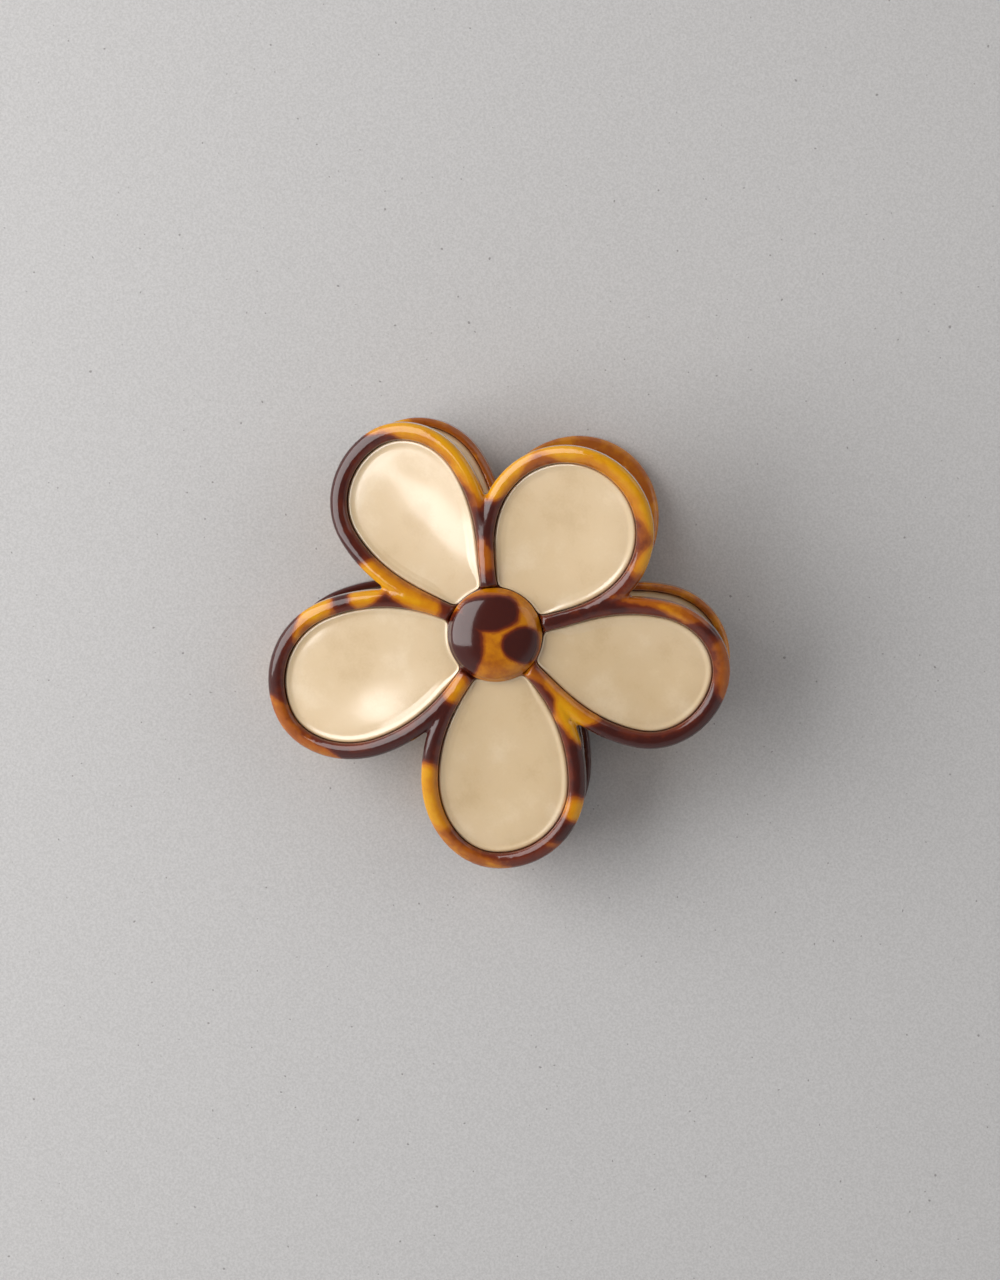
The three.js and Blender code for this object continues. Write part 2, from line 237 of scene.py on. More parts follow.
def window_on_left(petal):
    """(the whole window anticlockwise, its rim's arc from lever side to mouth side)."""
    lever = flank(petal, "lever_side") * (1, -1)
    mouth = flank(petal, "mouth_side")[:-1][::-1]
    arc = np.vstack([lever, mouth])
    first, last = (math.atan2(p[1], p[0]) for p in (arc[-1], arc[0]))
    angles = np.linspace(first, last, HUB_STEPS)[1:-1]
    hub = WINDOW_INNER_RADIUS * np.column_stack([np.cos(angles), np.sin(angles)])
    outline = resampled(np.vstack([arc, hub]), OUTLINE_STEP, True)
    for _ in range(CORNER_PASSES):
        outline = (np.roll(outline, 1, 0) + 2 * outline + np.roll(outline, -1, 0)) / 4
    turn = petal["axis"] + 90
    return turned(outline, turn), turned(resampled(arc, OUTLINE_STEP, False), turn)


def normals_of(outline):
    """Unit normals of an anticlockwise outline, pointing out of it."""
    along = np.roll(outline, -1, 0) - np.roll(outline, 1, 0)
    along /= np.linalg.norm(along, axis=1)[:, None]
    return np.column_stack([along[:, 1], -along[:, 0]])


WINDOWS = {}
ARCS = {}
for place in PLACES:
    outline, arc = window_on_left(PETALS[place.split("_")[0]])
    if place.endswith("right"):
        outline = outline[::-1] * (-1, 1)
        arc = arc * (-1, 1)
    WINDOWS[place] = outline
    ARCS[place] = arc


def nearest(points, targets):
    """(distance, index) of the nearest target for each point in plan."""
    best = np.full(len(points), np.inf)
    index = np.zeros(len(points), int)
    for low in range(0, len(points), SLICE):
        part = points[low:low + SLICE]
        gap = ((part[:, None, :] - targets[None]) ** 2).sum(2)
        index[low:low + SLICE] = gap.argmin(1)
        best[low:low + SLICE] = np.sqrt(gap.min(1))
    return best, index


def kept_out_of_window(points, outline):
    """The plan points, with those inside a window moved to its edge."""
    _, index = nearest(points, outline)
    edge = outline[index]
    inside = ((points - edge) * normals_of(outline)[index]).sum(1) < 0
    return np.where(inside[:, None], edge, points)


# ---- Meshes ----

def loop_faces(rows, count, closed):
    """Quads between rows of a grid whose columns close on themselves."""
    quads = []
    for j in range(rows if closed else rows - 1):
        row, following = j * count, ((j + 1) % rows) * count
        i = np.arange(count)
        k = (i + 1) % count
        quads.append(np.column_stack([row + i, row + k, following + k, following + i]))
    return [tuple(quad) for quad in np.vstack(quads).tolist()]


def fan(centre, row, count, flip):
    """Triangles from one point to a ring."""
    pairs = [(row + i, row + (i + 1) % count) for i in range(count)]
    return [(centre, b, a) if flip else (centre, a, b) for a, b in pairs]


def joined(parts):
    """Several bodies as one list of points and one of faces."""
    points, faces = [], []
    for part_points, part_faces in parts:
        base = sum(len(p) for p in points)
        points.append(np.asarray(part_points, float))
        faces.extend(tuple(base + i for i in face) for face in part_faces)
    return np.vstack(points), faces


def stacked(rings):
    """A closed body from rings of equal count, capped by a point at each end's middle."""
    count = len(rings[0])
    points = np.vstack(rings + [rings[0].mean(0)[None], rings[-1].mean(0)[None]])
    faces = loop_faces(len(rings), count, False)
    top = len(rings) * count
    faces += fan(top, 0, count, True)
    faces += fan(top + 1, (len(rings) - 1) * count, count, False)
    return points, faces


def circle(radius, count):
    """Points round a circle in plan."""
    angles = np.arange(count) * 2 * math.pi / count
    return radius * np.column_stack([np.cos(angles), np.sin(angles)])


def prism(outline, low, high):
    """An outline drawn up between two heights."""
    rings = [np.column_stack([outline, np.full(len(outline), z)]) for z in (low, high)]
    return stacked(rings)


def lathe(profile, count):
    """A closed body turned about Z from (radius, height) pairs, lowest first."""
    return stacked([
        np.column_stack([circle(radius, count), np.full(count, height)])
        for radius, height in profile
    ])


def flipped(faces):
    """Faces turned to look the other way."""
    return [face[::-1] for face in faces]


def mesh_object(name, points, faces, rear):
    """A smooth object in the row frame. The rear jaw is the front one mirrored in the mid-plane."""
    points = np.array(points, float)
    if rear:
        points[:, 2] *= -1
        faces = flipped(faces)
    mesh = bpy.data.meshes.new(name)
    placed = np.clip([tuple(to_row(p)) for p in points], *cad_bounds)
    mesh.from_pydata(placed.tolist(), [], faces)
    mesh.validate()
    mesh.polygons.foreach_set("use_smooth", [True] * len(mesh.polygons))
    mesh.update()
    piece = bpy.data.objects.new(name, mesh)
    bpy.context.scene.collection.objects.link(piece)
    return piece


def weld(piece):
    """Joins points that coincide, so that no face is left without an area."""
    body = bmesh.new()
    body.from_mesh(piece.data)
    bmesh.ops.remove_doubles(body, verts=body.verts, dist=WELD_DISTANCE)
    body.to_mesh(piece.data)
    body.free()


def remeshed(points, faces):
    """One skin round overlapping closed bodies, as smoothed points and faces."""
    mesh = bpy.data.meshes.new("rough")
    mesh.from_pydata([tuple(p) for p in points], [], faces)
    rough = bpy.data.objects.new("rough", mesh)
    bpy.context.scene.collection.objects.link(rough)
    modifier = rough.modifiers.new("skin", "REMESH")
    modifier.mode = "VOXEL"
    modifier.voxel_size = VOXEL
    modifier.adaptivity = 0
    graph = bpy.context.evaluated_depsgraph_get()
    skin = bpy.data.meshes.new_from_object(rough.evaluated_get(graph))
    bpy.data.objects.remove(rough)
    co = np.array([v.co for v in skin.vertices], float)
    edges = np.array([e.vertices[:] for e in skin.edges])
    skin_faces = [tuple(p.vertices) for p in skin.polygons]
    bpy.data.meshes.remove(skin)
    return smoothed(co, edges), skin_faces


def smoothed(co, edges):
    """Taubin smoothing: each pass in is followed by a pass out, so the form keeps its size."""
    ends = np.concatenate([edges[:, 0], edges[:, 1]])
    others = np.concatenate([edges[:, 1], edges[:, 0]])
    degree = np.bincount(ends, minlength=len(co))[:, None]
    for _ in range(SMOOTH_PASSES):
        for pull in SMOOTH_PULLS:
            mean = np.column_stack([
                np.bincount(ends, weights=co[others, k], minlength=len(co)) for k in range(3)
            ]) / degree
            co = co + pull * (mean - co)
    return co


# ---- Frame ----

def bead_section():
    """The bead's closed section: distance out of the window, height, share of the undercut."""
    half = RIM_WIDTH / 2
    crown = [
        (half - half * math.cos(a), BEAD_RISE * (math.sin(a) - 1), 0)
        for a in np.linspace(0, math.pi, 15)
    ]
    foot = [(RIM_WIDTH, -2.0, 0), (RIM_WIDTH, -3.0, 0), (RIM_WIDTH, FOOT_ROUND - FRAME_DEPTH, 0),
            (RIM_WIDTH - FOOT_ROUND, -FRAME_DEPTH, 0)]
    sole = [(1.7, -FRAME_DEPTH, 0.4), (1.0, -FRAME_DEPTH, 0.7), (0.25, -FRAME_DEPTH, 1)]
    inside = [(0, 0.3 - FRAME_DEPTH, 1), (0, -3.4, 1), (0, -UNDERCUT_TOP, 1),
              (0, -UNDERCUT_TOP, 0.5), (0, -UNDERCUT_TOP, 0), (0, -1.8, 0)]
    return crown + foot + sole + inside


def undercut(place):
    """Its depth at each point of a window: none along the webs, whole where petals stand apart."""
    radius = np.linalg.norm(WINDOWS[place], axis=1)
    share = smooth_step((radius - UNDERCUT_FROM) / (UNDERCUT_FULL - UNDERCUT_FROM))
    return (UNDERCUT[place.split("_")[0]] * share)[:, None]


def rim(place):
    """The bead round one window, kept out of the windows beside it."""
    outline = WINDOWS[place]
    normals = normals_of(outline)
    cut = undercut(place)
    rows = []
    for out, height, cut_share in bead_section():
        plan = outline + normals * (out + cut_share * cut)
        for other in PLACES:
            if other != place:
                plan = kept_out_of_window(plan, WINDOWS[other])
        z = jaw_height(*plan.T) + height
        in_seat = np.linalg.norm(plan, axis=1) < SEAT_RADIUS
        z = np.where(in_seat, np.minimum(z, HUB_HEIGHT - INLAY_RECESS), z)
        rows.append(np.column_stack([plan, z]))
    return np.vstack(rows), loop_faces(len(rows), len(outline), True)


def hinge_plate():
    """The plate that carries the lugs, and the tongue that the spring bears on."""
    y_low, y_high = HINGE_Y - LUG_ROOT_HALF, HINGE_Y + LUG_ROOT_HALF
    bodies = []
    for half, low, high in ((PLATE_SIDE, y_low, y_high), (TONGUE_HALF, y_high - 1, TONGUE_END)):
        corners = np.array([(-half, low), (half, low), (half, high), (-half, high)])
        bodies.append(prism(corners, PLATE_INNER, PLATE_OUTER))
    return joined(bodies)


def lug(x):
    """A lug with its knuckle, as a ring of quads round the pin hole, drawn in Y and Z."""
    direction = circle(1, LUG_SIDES)
    outer = direction * KNUCKLE_RADIUS
    upper = direction[:, 1] > 0
    outer[upper, 1] = (PLATE_INNER + PLATE_OUTER) / 2
    spread = np.where(direction[upper, 1] > 0.001, LUG_ROOT_HALF * LUG_SPREAD, KNUCKLE_RADIUS)
    outer[upper, 0] = np.clip(direction[upper, 0] * spread, -LUG_ROOT_HALF, LUG_ROOT_HALF)
    inner = direction * PIN_HOLE_RADIUS
    low, high = x - LUG_THICKNESS / 2, x + LUG_THICKNESS / 2
    rows = [
        np.column_stack([np.full(LUG_SIDES, at), HINGE_Y + ring[:, 0], ring[:, 1]])
        for at, ring in ((low, inner), (low, outer), (high, outer), (high, inner))
    ]
    return np.vstack(rows), loop_faces(len(rows), LUG_SIDES, True)


def rim_places(fractions):
    """Points on the centreline of the left mouth petal's rim."""
    arc = ARCS["mouth_left"]
    along = np.gradient(arc, axis=0)
    along /= np.linalg.norm(along, axis=1)[:, None]
    centreline = arc + np.column_stack([along[:, 1], -along[:, 0]]) * RIM_WIDTH / 2
    travel = np.concatenate([[0], np.cumsum(np.linalg.norm(np.diff(centreline, axis=0), axis=1))])
    places = np.array(fractions) * travel[-1]
    return np.column_stack([np.interp(places, travel, centreline[:, k]) for k in range(2)])


def tooth(x, y):
    """A tapered tooth hanging from the rim, long enough to pass the other jaw's."""
    root = jaw_height(x, y) - FRAME_DEPTH
    top = root + TOOTH_CLEARANCE + 0.6
    tip = max(-TOOTH_OVERLAP, TOOTH_CLEARANCE - root)
    profile = [
        (TOOTH_TIP * math.sin(a), tip + TOOTH_TIP * (1 - math.cos(a)))
        for a in np.linspace(0.15, math.pi / 2, 5)
    ]
    profile.append((TOOTH_ROOT, top))
    points, faces = lathe(profile, TOOTH_SIDES)
    return points + (x, y, 0), faces


def frame_parts(side):
    """Every body that is moulded in one with a jaw's frame."""
    parts = [prism(circle(SEAT_RADIUS, SEAT_SIDES), HUB_HEIGHT - FRAME_DEPTH, HUB_HEIGHT - INLAY_RECESS)]
    parts += [rim(place) for place in PLACES]
    parts.append(hinge_plate())
    parts += [lug(x) for x in (LUG_X[side], -LUG_X[side])]
    for x, y in rim_places(TEETH[side]):
        parts += [tooth(x, y), tooth(-x, y)]
    return parts


# The tortoise pattern. Each stretch runs along one petal's rim, from its lever-side web (0)
# round its tip to its mouth-side web (1): its ends at the rim's inner edge, its ends at the
# outer edge, and its tone, from 0, clear amber, through 0.45, orange, to 1, dark brown.
FRONT_PATTERN = {
    "lever": [
        (-0.05, 0.17, -0.05, 0.19, 1.0), (0.17, 0.25, 0.19, 0.25, 0.62),
        (0.26, 0.38, 0.33, 0.33, 0.52), (0.60, 0.72, 0.66, 0.66, 0.35),
        (0.78, 0.90, 0.80, 0.88, 1.0), (0.90, 0.965, 0.88, 0.965, 0.35),
        (0.965, 1.05, 0.965, 1.05, 0.85),
    ],
    "side_left": [
        (-0.05, 0.035, -0.05, 0.03, 0.9), (0.035, 0.11, 0.03, 0.12, 0.3),
        (0.11, 0.20, 0.12, 0.17, 1.0), (0.19, 0.24, 0.16, 0.20, 0.5),
        (0.42, 0.775, 0.49, 0.77, 0.95), (0.965, 1.05, 0.965, 1.05, 0.9),
    ],
    "side_right": [
        (-0.05, 0.24, -0.05, 0.15, 1.0), (0.24, 0.33, 0.15, 0.18, 0.75),
        (0.33, 0.40, 0.37, 0.40, 0.85), (0.40, 0.49, 0.18, 0.51, 0.42),
        (0.49, 0.80, 0.51, 0.825, 1.0), (0.955, 1.05, 0.94, 1.05, 0.45),
    ],
    "mouth_left": [
        (-0.05, 0.02, -0.05, 0.02, 0.9), (0.10, 0.175, 0.14, 0.14, 1.0),
        (0.205, 0.25, 0.215, 0.255, 1.0), (0.37, 0.50, 0.32, 0.49, 0.9),
        (0.50, 0.60, 0.49, 0.68, 0.36), (0.60, 0.93, 0.68, 0.92, 0.95),
        (0.985, 1.05, 0.985, 1.05, 0.9),
    ],
    "mouth_right": [
        (0.02, 0.11, 0.055, 0.065, 0.98), (0.135, 0.29, 0.19, 0.30, 1.0),
        (0.335, 0.41, 0.345, 0.38, 0.95), (0.41, 0.56, 0.38, 0.50, 0.58),
        (0.56, 0.64, 0.50, 0.66, 0.35), (0.79, 0.93, 0.79, 0.925, 1.0),
        (0.985, 1.05, 0.985, 1.05, 0.9),
    ],
}
REAR_PATTERN = {
    "lever": [(-0.05, 0.12, -0.05, 0.10, 0.9), (0.12, 0.80, 0.10, 0.78, 0.3),
              (0.83, 0.93, 0.81, 0.94, 1.0)],
    "side_left": [(-0.05, 0.06, -0.05, 0.04, 0.6), (0.06, 0.42, 0.04, 0.44, 0.38),
                  (0.46, 0.62, 0.48, 0.60, 1.0), (0.80, 0.97, 0.82, 0.95, 0.95)],
    "side_right": [(-0.05, 0.08, -0.05, 0.06, 0.9), (0.08, 0.24, 0.06, 0.22, 0.5),
                   (0.24, 0.50, 0.22, 0.50, 0.3), (0.52, 0.60, 0.53, 0.58, 1.0),
                   (0.72, 0.92, 0.70, 0.90, 1.0)],
    "mouth_left": [(0.10, 0.30, 0.12, 0.32, 0.95), (0.30, 0.45, 0.32, 0.42, 0.4),
                   (0.50, 0.58, 0.52, 0.56, 1.0), (0.70, 0.86, 0.68, 0.88, 1.0)],
    "mouth_right": [(0.12, 0.36, 0.10, 0.38, 0.95), (0.36, 0.50, 0.38, 0.50, 0.4),
                    (0.55, 0.68, 0.57, 0.66, 1.0), (0.80, 0.90, 0.82, 0.92, 0.9)],
}
TONE_EDGE = 1.0
EDGE_WANDER = 0.6
EDGE_WAVE = 2.6
INNER_WARMTH = 0.30
INNER_GLOW = 0.34    # how far the dark stretches turn orange down the bead's inner wall
TONE_PASSES = 8


def smooth_step(x):
    """From 0 to 1 with soft ends."""
    x = np.clip(x, 0, 1)
    return x * x * (3 - 2 * x)


def wander(points, size):
    """A smooth wandering value, within about 1, that bends the blotches' edges."""
    x, y = points[:, 0] / size, points[:, 1] / size
    return (np.sin(1.7 * x + 2.1 * np.sin(0.9 * y)) + np.sin(2.3 * y + 1.6 * np.sin(1.3 * x))) / 2


def stretch_tone(travel, across, length, stretches):
    """Darkness at places along a rim and across it."""
    tone = np.zeros(len(travel))
    for inner_start, inner_end, outer_start, outer_end, level in stretches:
        start = inner_start + (outer_start - inner_start) * across
        end = inner_end + (outer_end - inner_end) * across
        within = np.minimum(travel - start, end - travel) * length
        tone = np.maximum(tone, level * smooth_step(0.5 + within / (2 * TONE_EDGE)))
    return tone


def rim_tone(points, pattern):
    """Darkness of each plan point, from the stretches of the rim it is nearest to."""
    gap = np.full(len(points), np.inf)
    tone = np.zeros(len(points))
    for place in PLACES:
        arc = ARCS[place]
        distance, index = nearest(points, arc)
        across = np.clip((distance - 0.3) / (RIM_WIDTH - 0.6) + 0.12 * wander(points, 2.0), 0, 1)
        length = len(arc) * OUTLINE_STEP
        travel = index / (len(arc) - 1) + EDGE_WANDER / length * wander(points, EDGE_WAVE)
        here = stretch_tone(travel, across, length, pattern[place])
        inner = (1 - across) ** 2
        here = here + INNER_WARMTH * inner * (1 - here) - INNER_GLOW * inner * here ** 3
        closer = distance < gap
        tone = np.where(closer, here, tone)
        gap = np.minimum(gap, distance)
    return tone


def blurred(tone, faces):
    """The tone evened out between neighbouring points."""
    corners = np.array(faces)
    ends = np.concatenate([corners, np.roll(corners, 1, axis=1)], axis=1).ravel()
    others = np.concatenate([np.roll(corners, 1, axis=1), corners], axis=1).ravel()
    count = np.bincount(ends, minlength=len(tone))
    for _ in range(TONE_PASSES):
        total = np.bincount(ends, weights=tone[others], minlength=len(tone))
        tone = (tone + total / np.maximum(count, 1)) / 2
    return tone


def set_tone(piece, tone):
    """Keeps the pattern on the mesh for the material to read."""
    attribute = piece.data.attributes.new("tone", "FLOAT", "POINT")
    attribute.data.foreach_set("value", np.asarray(tone, np.float32))


def make_frame(side, pattern):
    """One jaw's lattice as a single moulded skin."""
    points, faces = remeshed(*joined(frame_parts(side)))
    piece = mesh_object(f"{side}_tortoise_frame", points, faces, side == "rear")
    set_tone(piece, blurred(rim_tone(points[:, :2], pattern), faces))
    return piece


# ---- Inlays ----

# The lip's section: distance in from the edge, height above the lip's foot.
LIP = [(0.0, -0.30), (0.04, -0.14), (0.12, -0.02), (0.24, 0.05), (0.40, 0.08), (0.58, 0.06),
       (0.78, 0.0), (1.0, -0.07), (1.25, -0.12), (1.5, -0.14)]
LIP_FROM = 8.6      # the lip is narrow beside the button, and whole from LIP_FULL outwards
LIP_FULL = 14.0
LIP_LEAST = 0.3
FACE_RINGS = [0.97, 0.93, 0.88, 0.82, 0.75, 0.67, 0.58, 0.49, 0.39, 0.29, 0.19, 0.09]


def dish_depth(plan, place):
    """Depth of the face below its lip: an oval dish with no crease."""
    petal = PETALS[place.split("_")[0]]
    local = plan * (-1, 1) if place.endswith("right") else plan
    local = turned(local, -90 - petal["axis"])
    middle = petal["widest"] - 1.5
    along = local[:, 0] - middle
    reach = np.where(along > 0, petal["tip"] - middle - 1.2, middle - WINDOW_INNER_RADIUS)
    half = np.where(local[:, 1] > 0, petal["mouth_side"][1], petal["lever_side"][1]) - 1.2
    oval = (along / reach) ** 2 + (local[:, 1] / half) ** 2
    return INLAY_DISH * np.maximum(0, 1 - oval) ** 1.5


def make_inlay(side, place):
    """A petal-shaped plate with a rolled lip, a shallow dish and a flange round its back."""
    outline = WINDOWS[place] - normals_of(WINDOWS[place]) * INLAY_GAP
    normals = normals_of(outline)
    centre = outline.mean(0)
    under = INLAY_RECESS + INLAY_THICKNESS
    flange = np.maximum(undercut(place) - FLANGE_GAP, 0)
    lip_share = smooth_step((np.linalg.norm(outline, axis=1) - LIP_FROM) / (LIP_FULL - LIP_FROM))
    lip_share = (LIP_LEAST + (1 - LIP_LEAST) * lip_share)[:, None]

    def ring(plan, height):
        return np.column_stack([plan, jaw_height(*plan.T) + height])

    rings = [ring(centre + (outline - centre) * k, -under) for k in (0.1, 0.4, 0.7, 0.95)]
    rings += [ring(outline + normals * flange * k, -under) for k in (0.3, 0.92)]
    rings += [ring(outline + normals * flange, 0.1 - under),
              ring(outline + normals * flange, -FLANGE_TOP), ring(outline, -FLANGE_TOP)]
    rings += [
        ring(outline - normals * inset * lip_share, rise - INLAY_RECESS) for inset, rise in LIP
    ]
    inner_edge = outline - normals * LIP[-1][0] * lip_share
    face = LIP[-1][1] - INLAY_RECESS
    for k in FACE_RINGS:
        plan = centre + (inner_edge - centre) * k
        rings.append(ring(plan, face - dish_depth(plan, place)))
    points, faces = stacked(rings)
    piece = mesh_object(f"{side}_petal_{place}", points, faces, side == "rear")
    weld(piece)
    return piece


# ---- Button ----

# Blotches on the button: middle (x, y), half sizes along and across, turn in degrees, tone.
BUTTON_BLOTCHES = [
    (4.8, 1.6, 3.2, 3.1, 125, 1.0),
    (-3.7, -5.1, 6.1, 4.0, 125, 1.0),
    (-2.9, 3.0, 5.2, 3.4, 35, 0.97),
]
BUTTON_TONE = 0.26


def make_button(side):
    """A low dome with a rounded edge."""
    round_angles = np.linspace(0, math.pi / 2, 5)
    edge = [
        (BUTTON_RADIUS - BUTTON_EDGE_ROUND * (1 - math.cos(a)),
         BUTTON_BASE + 0.45 + BUTTON_EDGE_ROUND * math.sin(a))
        for a in round_angles
    ]
    rim_radius, rim_height = edge[-1]
    dome = [
        (rim_radius * math.cos(a), rim_height + (BUTTON_TOP - rim_height) * math.sin(a))
        for a in np.linspace(0.1, math.pi / 2 - 0.03, 22)
    ]
    base = [(k * BUTTON_RADIUS, BUTTON_BASE) for k in (0.3, 0.7, 0.96)]
    profile = base + [(BUTTON_RADIUS, BUTTON_BASE + 0.15)] + edge[:3] + dome
    points, faces = lathe(profile, BUTTON_SIDES)
    piece = mesh_object(f"{side}_domed_button", points, faces, side == "rear")
    tone = np.full(len(points), BUTTON_TONE)
    drift = 0.3 * np.column_stack([wander(points, 2.4), wander(points[:, 1::-1], 2.1)])
    for x, y, long_half, short_half, turn, level in BUTTON_BLOTCHES:
        local = turned(points[:, :2] + drift - (x, y), -turn) / (long_half, short_half)
        inside = (1 - np.linalg.norm(local, axis=1)) * short_half
        tone = np.maximum(tone, level * smooth_step(0.5 + inside / (2 * TONE_EDGE)))
    set_tone(piece, tone)
    return piece


# ---- Pin and spring ----

def make_pin():
    """A straight pin with chamfered ends, lying along X."""
    bevel = PIN_RADIUS - PIN_CHAMFER
    ends = [(0.3, PIN_HALF_LENGTH), (bevel, PIN_HALF_LENGTH),
            (PIN_RADIUS, PIN_HALF_LENGTH - PIN_CHAMFER)]
    steps = np.linspace(PIN_CHAMFER - PIN_HALF_LENGTH, PIN_HALF_LENGTH - PIN_CHAMFER, 9)
    profile = [(radius, -along) for radius, along in ends[:2]]
    profile += [(PIN_RADIUS, along) for along in steps]
    profile += [(radius, along) for radius, along in ends[1::-1]]
    points, faces = lathe(profile, PIN_SIDES)
    lying = np.column_stack([points[:, 2], points[:, 1] + HINGE_Y, -points[:, 0]])
    return mesh_object("steel_pin", lying, faces, False)


def spring_centreline(count):
    """A leg, the coil and the other leg as one smooth line."""
    reach = math.hypot(LEG_END_Y, LEG_END_Z)
    leg = math.sqrt(reach ** 2 - COIL_RADIUS ** 2)
    leg_tilt = math.atan2(LEG_END_Z, LEG_END_Y) - math.asin(COIL_RADIUS / reach)
    sweep = 2 * math.pi * COIL_TURNS - 2 * leg_tilt
    coil = COIL_RADIUS * sweep
    travel = np.linspace(-leg, coil + leg, count)
    turned_part = np.clip(travel / coil, 0, 1)
    angle = math.pi / 2 + leg_tilt + turned_part * sweep
    before = np.maximum(-travel, 0)
    after = np.maximum(travel - coil, 0)
    y = HINGE_Y + COIL_RADIUS * np.cos(angle) + (before + after) * math.cos(leg_tilt)
    z = COIL_RADIUS * np.sin(angle) + (before - after) * math.sin(leg_tilt)
    return np.column_stack([COIL_HALF_LENGTH * (2 * turned_part - 1), y, z])


def make_spring():
    """The round wire along that line."""
    path = spring_centreline(WIRE_RINGS)
    along = np.gradient(path, axis=0)
    along /= np.linalg.norm(along, axis=1)[:, None]
    side = np.cross(along, (1.0, 0.0, 0.0))
    side /= np.linalg.norm(side, axis=1)[:, None]
    up = np.cross(side, along)
    rings = []
    for i, centre in enumerate(path):
        near_end = min(i, len(path) - 1 - i)
        radius = WIRE_RADIUS * (0.7, 0.95, 1.0)[min(near_end, 2)]
        ring = circle(radius, WIRE_SIDES)
        rings.append(centre + ring[:, :1] * up[i] + ring[:, 1:] * side[i])
    points, faces = stacked(rings)
    return mesh_object("steel_spring", points, faces, False)


# ---- Materials ----

def new_material(name):
    """A material with its nodes, links and main shader."""
    material = bpy.data.materials.new(name)
    material.use_nodes = True
    nodes = material.node_tree.nodes
    links = material.node_tree.links
    return material, nodes, links, nodes["Principled BSDF"]


def noise_node(nodes, links, source, scale, detail, roughness=0.5):
    node = nodes.new("ShaderNodeTexNoise")
    node.inputs["Scale"].default_value = scale
    node.inputs["Detail"].default_value = detail
    node.inputs["Roughness"].default_value = roughness
    links.new(source, node.inputs["Vector"])
    return node.outputs["Fac"]


def math_node(nodes, links, operation, a, b, clamp=False):
    node = nodes.new("ShaderNodeMath")
    node.operation = operation
    node.use_clamp = clamp
    for socket, value in zip(node.inputs, (a, b)):
        if isinstance(value, (int, float)):
            socket.default_value = value
        else:
            links.new(value, socket)
    return node.outputs["Value"]


def ramp_node(nodes, links, source, stops):
    node = nodes.new("ShaderNodeValToRGB")
    ramp = node.color_ramp
    ramp.interpolation = "EASE"
    while len(ramp.elements) < len(stops):
        ramp.elements.new(0.5)
    for element, (position, colour) in zip(ramp.elements, stops):
        element.position = position
        element.color = (*colour, 1)
    links.new(source, node.inputs["Fac"])
    return node.outputs["Color"]


def bump_node(nodes, links, height, strength, distance, shader):
    node = nodes.new("ShaderNodeBump")
    node.inputs["Strength"].default_value = strength
    node.inputs["Distance"].default_value = distance
    links.new(height, node.inputs["Height"])
    links.new(node.outputs["Normal"], shader.inputs["Normal"])
    return node


def tortoise_material():
    """Polished translucent amber with soft-edged dark blotches."""
    material, nodes, links, shader = new_material("tortoise")
    place = nodes.new("ShaderNodeTexCoord").outputs["Object"]
    tone = nodes.new("ShaderNodeAttribute")
    tone.attribute_name = "tone"
    broad = noise_node(nodes, links, place, 230, 3)
    fine = noise_node(nodes, links, place, 800, 4, 0.6)
    shift = math_node(nodes, links, "MULTIPLY_ADD", broad, 0.5)
    shift.node.inputs[2].default_value = -0.25
    wisps = math_node(nodes, links, "MULTIPLY_ADD", fine, 0.24)
    wisps.node.inputs[2].default_value = -0.12
    level = math_node(nodes, links, "ADD", tone.outputs["Fac"], shift)
    level = math_node(nodes, links, "ADD", level, wisps, True)
    colour = ramp_node(nodes, links, level, [
        (0.0, (0.64, 0.29, 0.002)), (0.20, (0.55, 0.195, 0.002)),
        (0.42, (0.33, 0.080, 0.003)), (0.62, (0.125, 0.017, 0.004)),
        (0.88, (0.052, 0.008, 0.005)),
    ])
    links.new(colour, shader.inputs["Base Color"])
    shader.inputs["Roughness"].default_value = 0.14
    shader.inputs["IOR"].default_value = 1.5
    shader.inputs["Specular IOR Level"].default_value = 0.30
    shader.inputs["Coat Weight"].default_value = 0.50
    shader.inputs["Coat Roughness"].default_value = 0.05
    shader.inputs["Subsurface Weight"].default_value = 0.12
    shader.inputs["Subsurface Radius"].default_value = (1.0, 0.4, 0.1)
    shader.inputs["Subsurface Scale"].default_value = 0.0012
    ripple = noise_node(nodes, links, place, 420, 2)
    bump_node(nodes, links, ripple, 0.12, 0.0002, shader)
    return material


def pearl_material():
    """Glossy cream plastic with faint pearly clouds."""
    material, nodes, links, shader = new_material("pearl")
    place = nodes.new("ShaderNodeTexCoord").outputs["Object"]
    clouds = noise_node(nodes, links, place, 110, 4, 0.55)
    grain = noise_node(nodes, links, place, 2600, 2)
    level = math_node(nodes, links, "MULTIPLY_ADD", grain, 0.16)
    level.node.inputs[2].default_value = -0.08
    level = math_node(nodes, links, "ADD", clouds, level, True)
    colour = ramp_node(nodes, links, level, [
        (0.25, (0.63, 0.44, 0.215)), (0.5, (0.71, 0.52, 0.285)), (0.75, (0.79, 0.61, 0.38)),
    ])
    links.new(colour, shader.inputs["Base Color"])
    shader.inputs["Roughness"].default_value = 0.42
    shader.inputs["IOR"].default_value = 2.0
    shader.inputs["Coat Weight"].default_value = 1.0
    shader.inputs["Coat IOR"].default_value = 1.7
    shader.inputs["Coat Roughness"].default_value = 0.13
    shader.inputs["Sheen Weight"].default_value = 0.12
    shader.inputs["Subsurface Weight"].default_value = 0.15
    shader.inputs["Subsurface Radius"].default_value = (1.0, 0.8, 0.5)
    shader.inputs["Subsurface Scale"].default_value = 0.001
    ripple = noise_node(nodes, links, place, 160, 2)
    bump_node(nodes, links, ripple, 0.05, 0.0004, shader)
    return material


